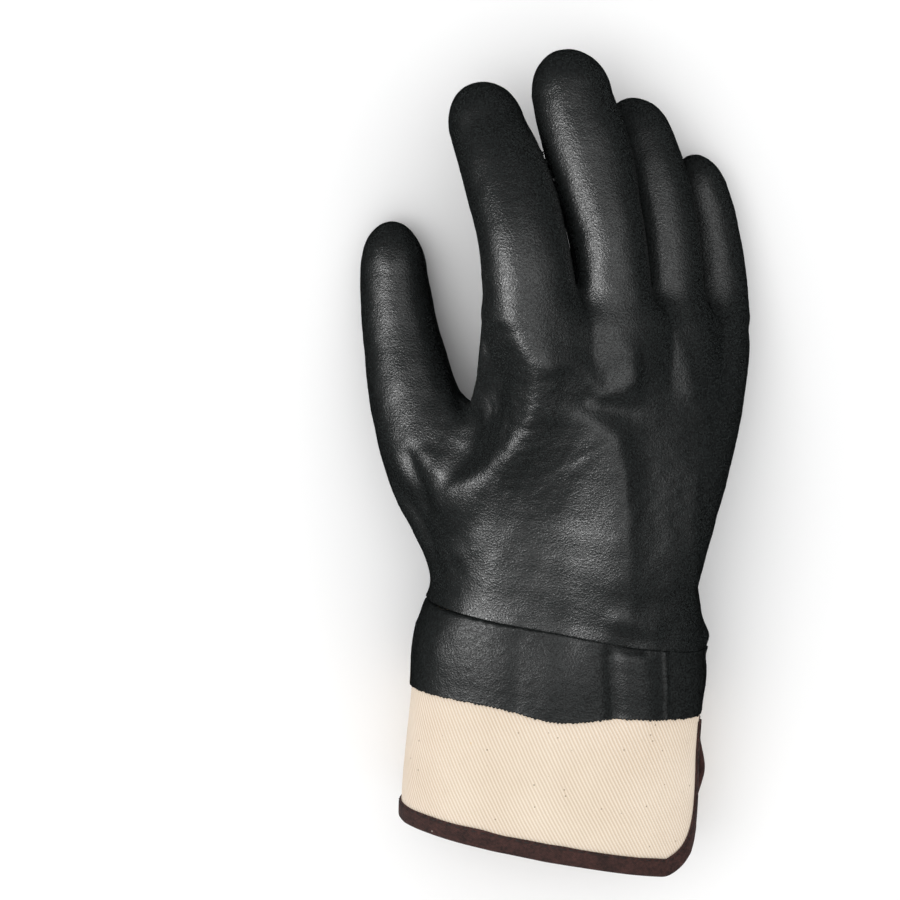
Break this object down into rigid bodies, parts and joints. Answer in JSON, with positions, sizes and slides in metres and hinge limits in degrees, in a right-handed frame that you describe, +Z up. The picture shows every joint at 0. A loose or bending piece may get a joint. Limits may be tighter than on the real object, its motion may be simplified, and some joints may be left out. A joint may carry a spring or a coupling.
{
  "type": "pvc coated work glove with safety cuff",
  "caption": "Right-hand coated work glove lying palm down, with a canvas safety cuff that is slit on the little-finger side and bound along its edges.",
  "frame": {"origin": "on the surface that the glove lies on, under the middle of its bounding box", "axes": "+Z up from the surface, +Y towards the fingertips, thumb towards -X"},
  "size_m": [0.129, 0.2714, 0.0685],
  "materials": {
    "coating": "near-black PVC with a fine sandy grain, semi-gloss, smoother over the top of the cuff",
    "canvas": "undyed cream cotton twill with darker seed flecks",
    "binding": "dark brown woven tape"
  },
  "bodies": {
    "root": {"coated_hand": "coating", "safety_cuff": "canvas", "cuff_binding": "binding"}
  },
  "joints": []
}
